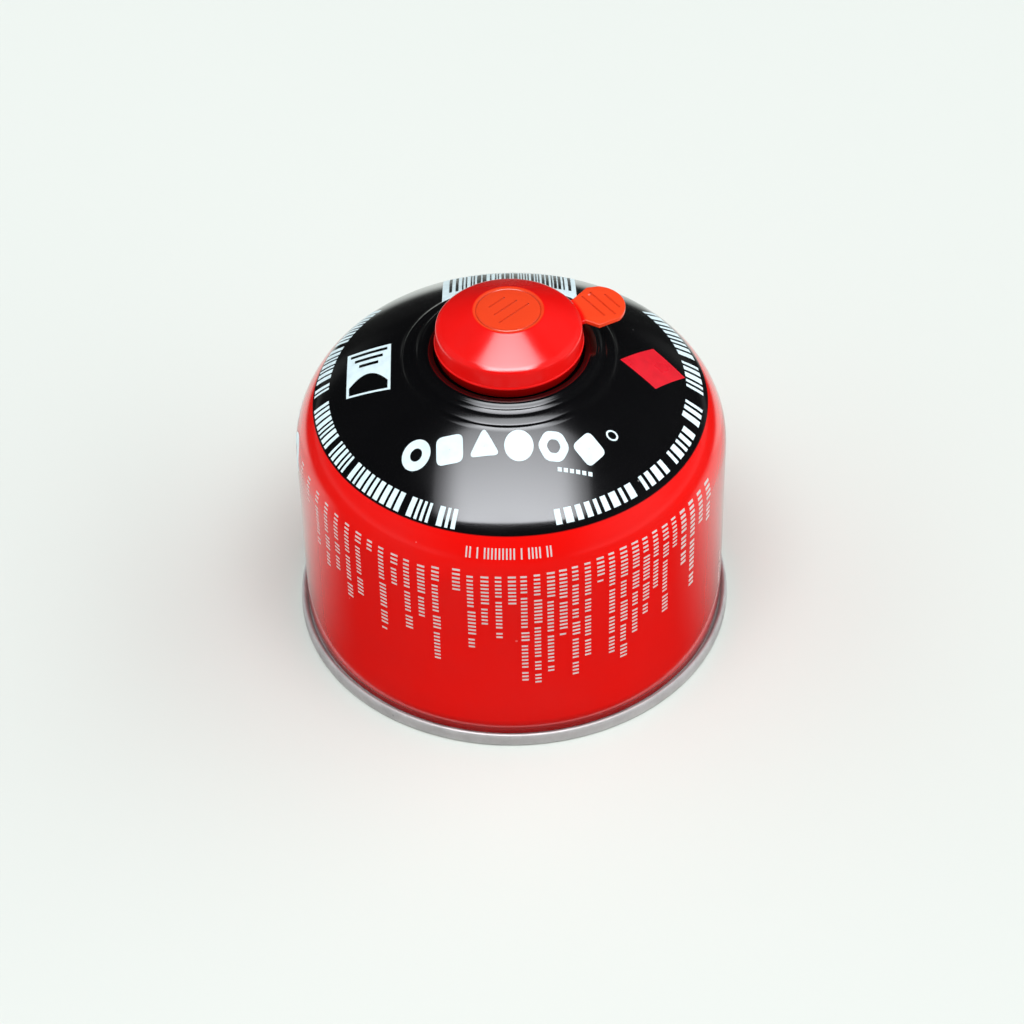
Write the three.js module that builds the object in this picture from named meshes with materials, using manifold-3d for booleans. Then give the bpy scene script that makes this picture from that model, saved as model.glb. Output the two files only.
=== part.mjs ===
// Short domed gas canister for a camping stove, with its plastic pull-off cap.
// Millimetres, +Z up. The origin is the centre of the circle that the foot seam stands on.
import * as THREE from 'three';
import { mergeVertices } from 'three/addons/utils/BufferGeometryUtils.js';
import Module from 'manifold-3d';

const wasm = await Module();
wasm.setup();

// Sheet, clearances and facets
const SHEET = 0.5;
const GAP = 0.3;
const SLIDE_GAP = 0.3;
const ROUND_FACETS = 64;
const SMALL_FACETS = 32;

// Foot seam and base end
const SEAM_OVERHANG = 1.75;
const SEAM_WIDTH = 2.1;
const SEAM_HEIGHT = 3.6;
const SEAM_EDGE = 0.4;
const SEAM_SLOT_DEPTH = 1.5;
const BASE_WALL_HEIGHT = 5.2;
const BASE_DISH_RISE = 6.3;

// Drawn body: wall, shoulder and dome
const BODY_RADIUS = 53.25;
const BODY_NECK_IN = 0.3;
const WALL_TOP = 53.4;
const SHOULDER_RADIUS = 18.6;
const SHOULDER_ANGLE = THREE.MathUtils.degToRad(53);
const DOME_RADIUS = 109.9;

// Stepped rings where the dome meets the valve, at their distances out from the cap's rim
const OUTER_STEP_OFFSET = 8.15;
const INNER_STEP_OFFSET = 4.45;
const STEP_RISE = 2.35;
const STEP_LIP = 0.55;
const BEAD_OFFSET = 2.45;
const BEAD_RISE = 3.1;
const VALLEY_RISE = 1.4;

// Valve cup: channel over the can's curl, floor and threaded boss
const CUP_INNER_RADIUS = 12.2;
const CUP_CHANNEL_WIDTH = 4.1;
const CUP_RISE = 6.6;
const CUP_SKIRT = 4.0;
const CUP_DEPTH = 6.5;
const BOSS_RADIUS = 5.55;
const THREAD_ROOT_RADIUS = 5.05;
const BOSS_HEIGHT = 10.5;
const COLLAR_HEIGHT = 3.5;
const BOSS_TOP_SHEET = 0.8;
const BOSS_MOUTH_RADIUS = 2.1;
const CUP_SEAL_THICKNESS = 0.55;

// Valve inside the boss
const HOUSING_WALL = 1.2;
const HOUSING_LENGTH = 15.0;
const HOUSING_INLET_RADIUS = 1.0;
const STEM_SEAL_THICKNESS = 1.0;
const STEM_RADIUS = 1.6;
const STEM_SINK = 0.7;
const STEM_DISC_THICKNESS = 2.0;
const STEM_GUIDE_RADIUS = 1.3;
const STEM_GUIDE_LENGTH = 4.3;
const SPRING_WIRE_RADIUS = 0.3;
const SPRING_TURNS = 6;

// Plastic cap
const CAP_FIT = 0.3;
const CAP_HEIGHT = 12.7;
const CAP_SIDE_HEIGHT = 7.0;
const CAP_DISC_RADIUS = 8.7;
const CAP_CONE_INSET = 1.05;
const CAP_CONE_DROP = 4.2;
const CAP_WALL = 1.15;
const CAP_TOP_THICKNESS = 1.2;
const CAP_DRAFT = 0.22;
const CAP_RIDGE = 0.15;
const CAP_BAND_HEIGHT = 3.2;
const CAP_BAND_INSET = 0.25;
const CAP_FOOT_CLEARANCE = 0.35;
const CAP_LEDGE_WIDTH = 1.0;

// Engraved lines
const GROOVE_WIDTH = 0.4;
const GROOVE_DEPTH = 0.3;
const RING_GROOVE_RADIUS = 7.8;
const DISC_GROOVE_ANGLE = THREE.MathUtils.degToRad(44);
const DISC_GROOVE_LENGTHS = [4.9, 7.4, 9.7];
const DISC_GROOVE_SPACING = 2.9;
const DISC_GROOVE_START = 3.9;

// Pull tab
const TAB_ANGLE = THREE.MathUtils.degToRad(21);
const TAB_NECK_WIDTH = 8.6;
const TAB_WIDTH = 14.2;
const TAB_END_WIDTH = 12.9;
const TAB_NECK_LENGTH = 0.6;
const TAB_NEAR_CORNER = 2.9;
const TAB_FAR_CORNER = 5.5;
const TAB_SIDE_END = 8.5;
const TAB_REACH = 12.15;
const TAB_THICKNESS = 1.2;
const TAB_DROP = 0.35;
const TAB_GROOVE_TILT = THREE.MathUtils.degToRad(14);
const TAB_GROOVE_LENGTHS = [8.9, 10.0, 5.8];
const TAB_GROOVE_SPACING = 2.5;
const TAB_GROOVE_START = 4.3;

// Heights and radii that follow from the sizes above
const seamRadius = BODY_RADIUS + SEAM_OVERHANG;
const seamInnerRadius = seamRadius - SEAM_WIDTH;
const cupRadius = CUP_INNER_RADIUS + CUP_CHANNEL_WIDTH;
const capInnerRadius = cupRadius + CAP_FIT;
const capRadius = capInnerRadius + CAP_WALL;
const capConeRadius = capRadius - CAP_CONE_INSET;
const beadRadius = capRadius + BEAD_OFFSET;
const innerStepRadius = capRadius + INNER_STEP_OFFSET;
const outerStepRadius = capRadius + OUTER_STEP_OFFSET;
const shoulderCentre = BODY_RADIUS - SHOULDER_RADIUS;
const domeCentre = {
  r: shoulderCentre + (SHOULDER_RADIUS - DOME_RADIUS) * Math.cos(SHOULDER_ANGLE),
  z: WALL_TOP + (SHOULDER_RADIUS - DOME_RADIUS) * Math.sin(SHOULDER_ANGLE),
};
const domeEndAngle = Math.acos((outerStepRadius + STEP_LIP / 2 - domeCentre.r) / DOME_RADIUS);
const domeTop = domeCentre.z + DOME_RADIUS * Math.sin(domeEndAngle);
const valleyZ = domeTop + VALLEY_RISE;
const cupTop = domeTop + CUP_RISE;
const cupFloor = cupTop - CUP_DEPTH;
const bossTop = cupFloor + BOSS_HEIGHT;
const bossRoof = bossTop - BOSS_TOP_SHEET;
const curlTop = cupTop - SHEET - CUP_SEAL_THICKNESS - 2 * GAP / 3;
const curlOuterRadius = cupRadius - SHEET - GAP;
const curlInnerRadius = CUP_INNER_RADIUS + SHEET + GAP;
const bossBore = THREAD_ROOT_RADIUS - SHEET;
const housingRadius = bossBore - GAP;
const housingBore = housingRadius - HOUSING_WALL;
const stemSealBottom = bossRoof - GAP / 3 - STEM_SEAL_THICKNESS;
const housingTop = stemSealBottom - GAP / 3;
const housingBottom = housingTop - HOUSING_LENGTH;
const stemTop = bossTop - STEM_SINK;
const stemDiscTop = housingTop - GAP / 3;
const stemDiscBottom = stemDiscTop - STEM_DISC_THICKNESS;
const springBottom = housingBottom + HOUSING_WALL + GAP / 2;
const springTop = stemDiscBottom - GAP / 2;
const capFoot = valleyZ + CAP_FOOT_CLEARANCE;
const capTop = capFoot + CAP_HEIGHT;
const capRim = capFoot + CAP_SIDE_HEIGHT;

// Builds a solid of revolution about Z from [radius, height] pairs in either direction
function lathe(points, facets = ROUND_FACETS, closed = false) {
  const ring = closed ? [...points, points[0]] : points;
  let area = 0;
  for (let i = 0; i < points.length; i += 1) {
    const [r0, z0] = points[i];
    const [r1, z1] = points[(i + 1) % points.length];
    area += r0 * z1 - r1 * z0;
  }
  const ordered = area > 0 ? ring : [...ring].reverse();
  const geometry = new THREE.LatheGeometry(ordered.map(([r, z]) => new THREE.Vector2(r, z)), facets);
  return geometry.rotateX(Math.PI / 2);
}

// Points of an arc about (r, z), without its first point when skipFirst is set
function arc(r, z, radius, from, to, steps, skipFirst = false) {
  const points = [];
  for (let i = skipFirst ? 1 : 0; i <= steps; i += 1) {
    const angle = from + ((to - from) * i) / steps;
    points.push([r + radius * Math.cos(angle), z + radius * Math.sin(angle)]);
  }
  return points;
}

function toSolid(geometry) {
  const bare = geometry.clone();
  bare.deleteAttribute('normal');
  bare.deleteAttribute('uv');
  const merged = mergeVertices(bare, 1e-4);
  const vertProperties = new Float32Array(merged.attributes.position.array);
  const triVerts = [];
  const index = merged.index.array;
  for (let i = 0; i < index.length; i += 3) {
    const [a, b, c] = [index[i], index[i + 1], index[i + 2]];
    if (a !== b && b !== c && c !== a) triVerts.push(a, b, c);
  }
  return new wasm.Manifold(new wasm.Mesh({
    numProp: 3,
    vertProperties,
    triVerts: Uint32Array.from(triVerts),
  }));
}

function toGeometry(solid) {
  const mesh = solid.getMesh();
  const geometry = new THREE.BufferGeometry();
  geometry.setAttribute('position', new THREE.BufferAttribute(new Float32Array(mesh.vertProperties), 3));
  geometry.setIndex(new THREE.BufferAttribute(new Uint32Array(mesh.triVerts), 1));
  return geometry;
}

// Height of the dished base panel's underside at a radius
function dishHeight(radius, panelRadius) {
  const share = radius / panelRadius;
  return BASE_WALL_HEIGHT + SHEET + BASE_DISH_RISE * (1 - share * share);
}

const wallFootRadius = BODY_RADIUS - BODY_NECK_IN;
const seamSlotBottom = SEAM_HEIGHT - SEAM_SLOT_DEPTH;
const seamSlotOuter = wallFootRadius + GAP;
const chuckWallRadius = seamInnerRadius - 1.3;
const panelRadius = chuckWallRadius - 1.0;
const PANEL_STEPS = 6;

function panelLine(offset, inward) {
  const points = [];
  for (let i = 0; i <= PANEL_STEPS; i += 1) {
    const radius = (panelRadius * i) / PANEL_STEPS;
    points.push([radius, dishHeight(radius, panelRadius) + offset]);
  }
  return inward ? points.reverse() : points;
}

// Seamed-on base end: double seam, chuck wall and dished panel
function baseEnd() {
  return lathe([
    ...panelLine(0, false),
    [chuckWallRadius, BASE_WALL_HEIGHT - SHEET],
    [chuckWallRadius + SHEET, 1.2],
    [seamInnerRadius, 0],
    [seamRadius - SEAM_EDGE, 0],
    [seamRadius, SEAM_EDGE],
    [seamRadius, SEAM_HEIGHT * 0.65],
    [seamRadius - 0.25, SEAM_HEIGHT - 0.5],
    [seamRadius - 0.85, SEAM_HEIGHT],
    [seamSlotOuter + 0.1, SEAM_HEIGHT],
    [seamSlotOuter, SEAM_HEIGHT - 0.2],
    [seamSlotOuter, seamSlotBottom],
    [chuckWallRadius + 2 * SHEET, seamSlotBottom],
    [chuckWallRadius + SHEET, BASE_WALL_HEIGHT],
    ...panelLine(SHEET, true),
  ]);
}

// Drawn body with its gas: wall, shoulder, dome, stepped rings, curl and the well of the valve
function canBody() {
  const wallFoot = seamSlotBottom + GAP;
  const innerFoot = chuckWallRadius + 2 * SHEET + GAP;
  const pocketFloor = cupFloor - SHEET - GAP;
  const wellRadius = housingRadius + GAP;
  const wellFloor = housingBottom - GAP;
  return lathe([
    ...panelLine(SHEET + GAP, false),
    [chuckWallRadius + SHEET + GAP, BASE_WALL_HEIGHT + GAP],
    [innerFoot, wallFoot],
    [wallFootRadius, wallFoot],
    [wallFootRadius, SEAM_HEIGHT + 0.4],
    [BODY_RADIUS, SEAM_HEIGHT + 1.3],
    [BODY_RADIUS, WALL_TOP],
    ...arc(shoulderCentre, WALL_TOP, SHOULDER_RADIUS, 0, SHOULDER_ANGLE, 9, true),
    ...arc(domeCentre.r, domeCentre.z, DOME_RADIUS, SHOULDER_ANGLE, domeEndAngle, 7, true),
    [outerStepRadius - STEP_LIP / 2, domeTop + STEP_LIP],
    [innerStepRadius + 1.2, domeTop + STEP_RISE * 0.6],
    [innerStepRadius + STEP_LIP, domeTop + STEP_RISE * 0.75],
    [innerStepRadius, domeTop + STEP_RISE],
    [(innerStepRadius + beadRadius) / 2, domeTop + BEAD_RISE - 0.15],
    [beadRadius, domeTop + BEAD_RISE],
    [capRadius + 1.5, domeTop + BEAD_RISE - 0.25],
    [capRadius + 0.8, domeTop + BEAD_RISE - 0.75],
    [capRadius + 0.3, valleyZ + 0.3],
    [capRadius - 0.3, valleyZ],
    [curlOuterRadius, valleyZ],
    [curlOuterRadius, curlTop - 0.5],
    [curlOuterRadius - 0.5, curlTop],
    [curlInnerRadius + 0.5, curlTop],
    [curlInnerRadius, curlTop - 0.5],
    [curlInnerRadius, pocketFloor],
    [wellRadius, pocketFloor],
    [wellRadius, wellFloor],
    [0, wellFloor],
  ]);
}

// Pressed mounting cup: channel over the curl, floor and boss with a mouth for the stove's pin
function valveCup() {
  const skirtFoot = cupTop - CUP_SKIRT;
  const bend = 0.6;
  return lathe([
    [cupRadius, skirtFoot],
    [cupRadius, cupTop - bend],
    [cupRadius - bend, cupTop],
    [CUP_INNER_RADIUS + bend, cupTop],
    [CUP_INNER_RADIUS, cupTop - bend],
    [CUP_INNER_RADIUS, cupFloor + bend],
    [CUP_INNER_RADIUS - bend, cupFloor],
    [BOSS_RADIUS + bend, cupFloor],
    [BOSS_RADIUS, cupFloor + bend],
    [BOSS_RADIUS, cupFloor + COLLAR_HEIGHT],
    [THREAD_ROOT_RADIUS, cupFloor + COLLAR_HEIGHT + 0.4],
    [THREAD_ROOT_RADIUS, bossTop - 0.4],
    [THREAD_ROOT_RADIUS - 0.4, bossTop],
    [BOSS_MOUTH_RADIUS, bossTop],
    [BOSS_MOUTH_RADIUS, bossRoof],
    [bossBore, bossRoof],
    [bossBore, cupFloor - SHEET],
    [CUP_INNER_RADIUS - bend + SHEET / 2, cupFloor - SHEET],
    [CUP_INNER_RADIUS + SHEET, cupFloor + bend / 2],
    [CUP_INNER_RADIUS + SHEET, cupTop - SHEET],
    [cupRadius - SHEET, cupTop - SHEET],
    [cupRadius - SHEET, skirtFoot],
  ], ROUND_FACETS, true);
}

function ring(inner, outer, low, high, facets = SMALL_FACETS) {
  return lathe([[inner, low], [outer, low], [outer, high], [inner, high]], facets, true);
}

function cupSeal() {
  const inset = 0.3;
  const low = curlTop + GAP / 3;
  return ring(curlInnerRadius + inset, curlOuterRadius - inset, low, low + CUP_SEAL_THICKNESS, ROUND_FACETS);
}

function stemSeal() {
  const low = stemSealBottom;
  return ring(STEM_RADIUS + SLIDE_GAP, housingRadius, low, low + STEM_SEAL_THICKNESS);
}

function valveHousing() {
  const chamfer = 0.8;
  return lathe([
    [HOUSING_INLET_RADIUS, housingBottom],
    [housingRadius - chamfer, housingBottom],
    [housingRadius, housingBottom + chamfer],
    [housingRadius, housingTop],
    [housingBore, housingTop],
    [housingBore, housingBottom + HOUSING_WALL],
    [HOUSING_INLET_RADIUS, housingBottom + HOUSING_WALL],
  ], SMALL_FACETS, true);
}

function valveStem() {
  return lathe([
    [0, stemDiscBottom - STEM_GUIDE_LENGTH],
    [STEM_GUIDE_RADIUS, stemDiscBottom - STEM_GUIDE_LENGTH],
    [STEM_GUIDE_RADIUS, stemDiscBottom],
    [housingBore - SLIDE_GAP, stemDiscBottom],
    [housingBore - SLIDE_GAP, stemDiscTop],
    [STEM_RADIUS, stemDiscTop],
    [STEM_RADIUS, stemTop],
    [0, stemTop],
  ], SMALL_FACETS);
}

class Helix extends THREE.Curve {
  constructor(radius, low, high, turns) {
    super();
    Object.assign(this, { radius, low, high, turns });
  }

  getPoint(share, target = new THREE.Vector3()) {
    const angle = share * this.turns * 2 * Math.PI;
    const height = this.low + (this.high - this.low) * share;
    return target.set(this.radius * Math.cos(angle), this.radius * Math.sin(angle), height);
  }
}

function stemSpring() {
  const coilRadius = STEM_GUIDE_RADIUS + SLIDE_GAP + SPRING_WIRE_RADIUS;
  const low = springBottom + SPRING_WIRE_RADIUS;
  const high = springTop - SPRING_WIRE_RADIUS;
  const section = new THREE.Shape();
  section.absarc(0, 0, SPRING_WIRE_RADIUS, 0, 2 * Math.PI, false);
  return new THREE.ExtrudeGeometry(section, {
    extrudePath: new Helix(coilRadius, low, high, SPRING_TURNS),
    steps: SPRING_TURNS * 12,
    curveSegments: 3,
    bevelEnabled: false,
  });
}

// Outline of the pull tab, along +X from inside the cap's wall, before it is turned to its angle
function tabOutline() {
  const root = capRadius - CAP_WALL / 2;
  const neck = capRadius + TAB_NECK_LENGTH;
  const halfEnd = TAB_END_WIDTH / 2;
  const sideEnd = capRadius + TAB_SIDE_END;
  const sagitta = TAB_REACH - TAB_SIDE_END;
  const endRadius = (halfEnd * halfEnd + sagitta * sagitta) / (2 * sagitta);
  const endCentre = capRadius + TAB_REACH - endRadius;
  const endAngle = Math.atan2(halfEnd, sideEnd - endCentre);
  const shape = new THREE.Shape();
  shape.moveTo(root, -TAB_NECK_WIDTH / 2);
  shape.lineTo(neck, -TAB_NECK_WIDTH / 2);
  shape.lineTo(capRadius + TAB_NEAR_CORNER, -TAB_WIDTH / 2);
  shape.lineTo(sideEnd, -halfEnd);
  shape.absarc(endCentre, 0, endRadius, -endAngle, endAngle, false);
  shape.lineTo(capRadius + TAB_FAR_CORNER, TAB_WIDTH / 2);
  shape.lineTo(neck, TAB_NECK_WIDTH / 2);
  shape.lineTo(root, TAB_NECK_WIDTH / 2);
  shape.closePath();
  return shape;
}

// A straight engraving cutter, centred on (x, y) and turned about Z, cut down from a top face
function grooveCutter(x, y, length, angle, top) {
  const spare = 1;
  const box = new THREE.BoxGeometry(length, GROOVE_WIDTH, GROOVE_DEPTH + spare);
  box.rotateZ(angle);
  return toSolid(box.translate(x, y, top - GROOVE_DEPTH / 2 + spare / 2));
}

// Cap: disc, cone, side wall with its ridge, and the pull tab, in one moulding
function cap() {
  const ridgeZ = capFoot + CAP_BAND_HEIGHT;
  const ledgeZ = cupTop + GAP;
  const coneFoot = capTop - CAP_CONE_DROP;
  const coneSlope = CAP_CONE_DROP / (capConeRadius - CAP_DISC_RADIUS);
  const innerTop = capTop - CAP_TOP_THICKNESS;
  const ledgeRadius = capInnerRadius - CAP_LEDGE_WIDTH;
  const innerDiscRadius = CAP_DISC_RADIUS - 0.4;
  const halfGroove = GROOVE_WIDTH / 2;
  const shell = lathe([
    [0, capTop],
    [RING_GROOVE_RADIUS - halfGroove, capTop],
    [RING_GROOVE_RADIUS, capTop - GROOVE_DEPTH],
    [RING_GROOVE_RADIUS + halfGroove, capTop],
    [CAP_DISC_RADIUS, capTop],
    [capConeRadius, coneFoot],
    [(capConeRadius + capRadius) / 2 + 0.15, (coneFoot + capRim) / 2 + 0.15],
    [capRadius, capRim],
    [capRadius + CAP_DRAFT, ridgeZ + 0.2],
    [capRadius + CAP_DRAFT + CAP_RIDGE, ridgeZ],
    [capRadius + CAP_DRAFT + CAP_RIDGE, ridgeZ - 0.4],
    [capRadius + CAP_DRAFT - 0.05, ridgeZ - 0.6],
    [capRadius - CAP_BAND_INSET, capFoot],
    [capInnerRadius, capFoot],
    [capInnerRadius, ledgeZ],
    [ledgeRadius, ledgeZ],
    [ledgeRadius, innerTop - coneSlope * (ledgeRadius - innerDiscRadius)],
    [innerDiscRadius, innerTop],
    [0, innerTop],
  ]);
  const tabTop = capRim - TAB_DROP;
  const tab = new THREE.ExtrudeGeometry(tabOutline(), {
    depth: TAB_THICKNESS,
    curveSegments: 10,
    bevelEnabled: false,
  });
  tab.translate(0, 0, tabTop - TAB_THICKNESS);
  tab.rotateZ(TAB_ANGLE);
  let solid = toSolid(shell).add(toSolid(tab));
  DISC_GROOVE_LENGTHS.forEach((length, i) => {
    const offset = DISC_GROOVE_START - DISC_GROOVE_SPACING * i;
    const x = -Math.sin(DISC_GROOVE_ANGLE) * offset;
    const y = Math.cos(DISC_GROOVE_ANGLE) * offset;
    solid = solid.subtract(grooveCutter(x, y, length, DISC_GROOVE_ANGLE, capTop));
  });
  TAB_GROOVE_LENGTHS.forEach((length, i) => {
    const along = capRadius + TAB_GROOVE_START + TAB_GROOVE_SPACING * i;
    const x = Math.cos(TAB_ANGLE) * along;
    const y = Math.sin(TAB_ANGLE) * along;
    const angle = TAB_ANGLE + TAB_GROOVE_TILT + Math.PI / 2;
    solid = solid.subtract(grooveCutter(x, y, length, angle, tabTop));
  });
  return toGeometry(solid);
}

const finishes = {
  paint: { color: 0xd01008, roughness: 0.25, metalness: 0.1 },
  tinplate: { color: 0xb4b0ae, roughness: 0.35, metalness: 0.9 },
  rubber: { color: 0x1c1c1c, roughness: 0.8, metalness: 0 },
  housing: { color: 0xe4e2d8, roughness: 0.5, metalness: 0 },
  stem: { color: 0xc9b47a, roughness: 0.4, metalness: 0.9 },
  spring: { color: 0x9c9c9c, roughness: 0.3, metalness: 1 },
  cap: { color: 0xf01206, roughness: 0.3, metalness: 0 },
};

const pieces = [
  ['base_end', baseEnd, 'tinplate'],
  ['can_body', canBody, 'paint'],
  ['cup_seal', cupSeal, 'rubber'],
  ['valve_cup', valveCup, 'tinplate'],
  ['stem_seal', stemSeal, 'rubber'],
  ['valve_housing', valveHousing, 'housing'],
  ['stem_spring', stemSpring, 'spring'],
  ['valve_stem', valveStem, 'stem'],
  ['cap', cap, 'cap'],
];

const canister = new THREE.Group();
for (const [name, build, finish] of pieces) {
  const mesh = new THREE.Mesh(build(), new THREE.MeshStandardMaterial(finishes[finish]));
  mesh.name = name;
  canister.add(mesh);
}

export default canister;
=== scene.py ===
import math
import random

import bmesh
import bpy
from bpy.props import FloatProperty, FloatVectorProperty, IntProperty, PointerProperty
from bpy.types import Operator, Panel, PropertyGroup
from mathutils import Matrix, Vector


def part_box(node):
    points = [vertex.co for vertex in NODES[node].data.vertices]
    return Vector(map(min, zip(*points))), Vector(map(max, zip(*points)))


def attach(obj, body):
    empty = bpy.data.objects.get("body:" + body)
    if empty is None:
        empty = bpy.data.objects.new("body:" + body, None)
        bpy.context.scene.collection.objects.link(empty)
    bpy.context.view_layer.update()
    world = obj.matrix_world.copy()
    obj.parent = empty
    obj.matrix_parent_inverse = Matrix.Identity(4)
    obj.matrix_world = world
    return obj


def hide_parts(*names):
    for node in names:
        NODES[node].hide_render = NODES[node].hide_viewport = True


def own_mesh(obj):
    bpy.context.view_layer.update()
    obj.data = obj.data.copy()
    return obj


bl_info = {
    "name": "Gas canister looks",
    "version": (1, 0, 0),
    "blender": (4, 5, 0),
    "location": "3D View > Sidebar > Canister",
    "description": "Lacquered can, printed marks, tinplate foot, screw valve and cap round a fixed frame",
    "category": "Object",
}

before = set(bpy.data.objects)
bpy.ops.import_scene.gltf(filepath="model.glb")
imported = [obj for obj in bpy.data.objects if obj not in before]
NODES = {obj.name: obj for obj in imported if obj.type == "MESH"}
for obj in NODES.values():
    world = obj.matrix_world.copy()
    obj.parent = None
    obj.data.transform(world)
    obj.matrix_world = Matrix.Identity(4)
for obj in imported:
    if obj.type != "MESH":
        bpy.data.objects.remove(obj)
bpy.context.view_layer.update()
BODY_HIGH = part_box("can_body")[1]
FOOT_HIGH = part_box("base_end")[1]
CUP_LOW, CUP_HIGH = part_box("valve_cup")
CAP_LOW, CAP_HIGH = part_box("cap")
MM = 0.001
# Heights in millimetres: of the boss above the valve cup's rim, and of the foot seam
BOSS_RISE = 4.0
SEAM_TOP = 3.6
FINE_FACETS = 256
SHARP_ANGLE = math.radians(32)


# Sizes and colours that a user would change

def length_property(name, description, default):
    return FloatProperty(name=name, description=description, default=default, unit="LENGTH", precision=5)


def angle_property(name, description, degrees):
    return FloatProperty(name=name, description=description, default=math.radians(degrees),
                         subtype="ANGLE", unit="ROTATION")


def colour_property(name, description, default):
    return FloatVectorProperty(name=name, description=description, default=default,
                               subtype="COLOR", min=0, max=1)


class CanSizes(PropertyGroup):
    wall_radius: length_property(
        "Wall radius", "Outer radius of the drawn wall", BODY_HIGH.x)
    wall_top: length_property(
        "Wall top", "Height where the straight wall turns into the shoulder", 53.4 * MM)
    shoulder_radius: length_property(
        "Shoulder radius", "Radius of the rounded shoulder's section", 18.6 * MM)
    shoulder_angle: angle_property(
        "Shoulder angle", "Angle over which the shoulder turns before the dome starts", 53)
    dome_radius: length_property(
        "Dome radius", "Radius of the dome's section", 109.9 * MM)
    step_radius: length_property(
        "Step radius", "Radius of the outer of the two pressed steps round the valve", 25.9 * MM)
    inner_step_radius: length_property(
        "Inner step radius", "Radius of the inner pressed step", 22.2 * MM)
    bead_radius: length_property(
        "Bead radius", "Radius of the raised bead round the cap", 20.2 * MM)
    black_edge: length_property(
        "Black edge height", "Height of the edge between the red wall and the black dome", 65.8 * MM)


class CapSizes(PropertyGroup):
    radius: length_property("Cap radius", "Radius of the cap at its rim", 17.75 * MM)
    disc_radius: length_property("Disc radius", "Radius of the flat disc on top of the cap", 8.7 * MM)
    cone_radius: length_property("Cone radius", "Radius at the foot of the cap's cone", 16.7 * MM)
    cone_drop: length_property("Cone drop", "Height of the cap's cone", 4.2 * MM)
    wall: length_property("Cap wall", "Thickness of the cap's side wall", 1.15 * MM)
    tab_angle: angle_property("Tab angle", "Direction of the pull tab, from +X towards +Y", 21)


class Finishes(PropertyGroup):
    red: colour_property("Red lacquer", "Colour of the printed wall", (0.86, 0.003, 0.001))
    black: colour_property("Black lacquer", "Colour of the printed dome", (0.0015, 0.0015, 0.002))
    ink: colour_property("Pale ink", "Colour of the printed marks", (0.78, 0.94, 0.97))
    cap_red: colour_property("Cap red", "Colour of the plastic cap", (0.90, 0.002, 0.001))
    # Painted sheen: the cap's disc and tab take a lighter, more orange colour than its sides, standing in
    # for light on its top faces
    cap_top_sheen: colour_property(
        "Cap face", "Colour of the cap's finely textured disc and tab", (0.86, 0.060, 0.014))
    metal: colour_property("Tinplate", "Colour of the bare metal seam and valve cup", (0.71, 0.68, 0.67))


class StageSettings(PropertyGroup):
    camera_distance: length_property(
        "Camera distance", "Distance from the camera to its target", 0.8111)
    camera_elevation: angle_property(
        "Camera elevation", "Angle of the view above the floor", 43.635)
    camera_roll: angle_property(
        "Camera roll", "Turn of the view about its own axis", -1.25)
    lens: FloatProperty(
        name="Lens", description="Focal length for a sensor 36 mm wide, in millimetres", default=112.4)
    key_power: FloatProperty(
        name="Key power", description="Power of the soft box above the canister, in watts", default=256.0)
    facets: IntProperty(
        name="Facets", description="Facets round the large turned pieces",
        default=FINE_FACETS, min=32, max=512)


# Section of the can, in millimetres from the axis and from the floor

def can_sizes():
    return bpy.context.scene.can_sizes


def dome_geometry():
    s = can_sizes()
    radius = s.wall_radius / MM
    shoulder = s.shoulder_radius / MM
    dome = s.dome_radius / MM
    top = s.wall_top / MM
    centre = radius - shoulder
    return {
        "wall": radius,
        "top": top,
        "shoulder": shoulder,
        "shoulder_centre": centre,
        "joint_radius": centre + shoulder * math.cos(s.shoulder_angle),
        "dome": dome,
        "dome_r": centre + (shoulder - dome) * math.cos(s.shoulder_angle),
        "dome_z": top + (shoulder - dome) * math.sin(s.shoulder_angle),
        "angle": s.shoulder_angle,
    }


def surface_height(radius, shape):
    """Height of the shoulder or dome at a radius."""
    if radius >= shape["joint_radius"]:
        run = max(radius - shape["shoulder_centre"], 0)
        return shape["top"] + math.sqrt(max(shape["shoulder"] ** 2 - run ** 2, 0))
    return shape["dome_z"] + math.sqrt(shape["dome"] ** 2 - (radius - shape["dome_r"]) ** 2)


def surface_normal(radius, shape):
    """Outward normal of the shoulder or dome at a radius, as (radial, vertical)."""
    if radius >= shape["joint_radius"]:
        radial = max(radius - shape["shoulder_centre"], 0) / shape["shoulder"]
    else:
        radial = (radius - shape["dome_r"]) / shape["dome"]
    radial = min(radial, 1)
    return radial, math.sqrt(1 - radial * radial)


def radius_at(height, shape):
    """Radius of the wall or shoulder at a height."""
    rise = max(height - shape["top"], 0)
    if rise <= 0:
        return shape["wall"]
    run = math.sqrt(max(shape["shoulder"] ** 2 - rise ** 2, 0))
    return shape["shoulder_centre"] + run


def arc(r, z, radius, start, end, steps):
    points = []
    for i in range(steps + 1):
        angle = start + (end - start) * i / steps
        points.append((r + radius * math.cos(angle), z + radius * math.sin(angle)))
    return points


def smooth_line(points, steps=6):
    """Catmull-Rom curve through (r, z) points."""
    ends = [points[0], *points, points[-1]]
    line = []
    for a, b, c, d in zip(ends, ends[1:], ends[2:], ends[3:]):
        for i in range(steps):
            t = i / steps
            line.append(tuple(
                0.5 * (2 * q + (r - p) * t + (2 * p - 5 * q + 4 * r - s) * t * t
                       + (3 * q - p - 3 * r + s) * t ** 3)
                for p, q, r, s in zip(a, b, c, d)))
    line.append(points[-1])
    return line


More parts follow.
